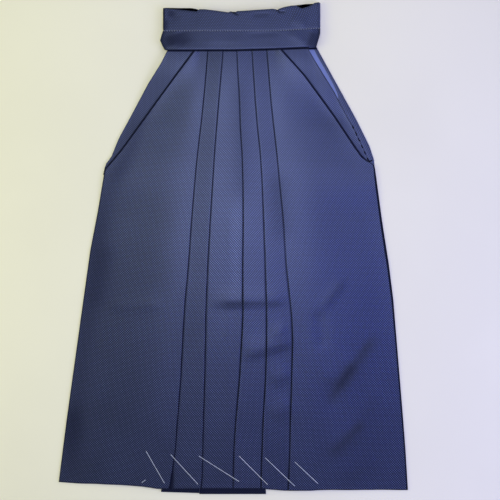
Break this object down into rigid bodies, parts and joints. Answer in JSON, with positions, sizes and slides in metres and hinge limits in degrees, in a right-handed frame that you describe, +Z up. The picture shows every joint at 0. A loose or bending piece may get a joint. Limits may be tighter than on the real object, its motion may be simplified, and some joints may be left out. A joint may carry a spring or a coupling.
{
  "type": "hakama trousers laid flat",
  "caption": "Navy hakama trousers laid flat with the pleated front up: slanted side pleats, long front pleats, a front band and ties folded at the waist.",
  "frame": {"origin": "middle of the bounding box's underside, on the surface that the garment lies on", "axes": "+X to the right of the garment as seen from above, +Y from the hem towards the waist, +Z up from the surface"},
  "size_m": [0.7222, 1.016, 0.0174],
  "materials": {
    "navy_face": "woven navy polyester with a fine dotted weave",
    "blue_reverse": "lighter blue reverse of the same cloth"
  },
  "bodies": {
    "root": {"front_left": "navy_face", "front_right": "navy_face", "side_strip_left": "navy_face", "side_strip_right": "navy_face", "back_left": "navy_face", "back_right": "blue_reverse", "opening_hem_left": "navy_face", "opening_hem_right": "navy_face", "crotch_gusset": "navy_face", "front_band": "navy_face", "front_ties": "navy_face", "back_ties": "navy_face", "back_band": "navy_face"}
  },
  "joints": []
}
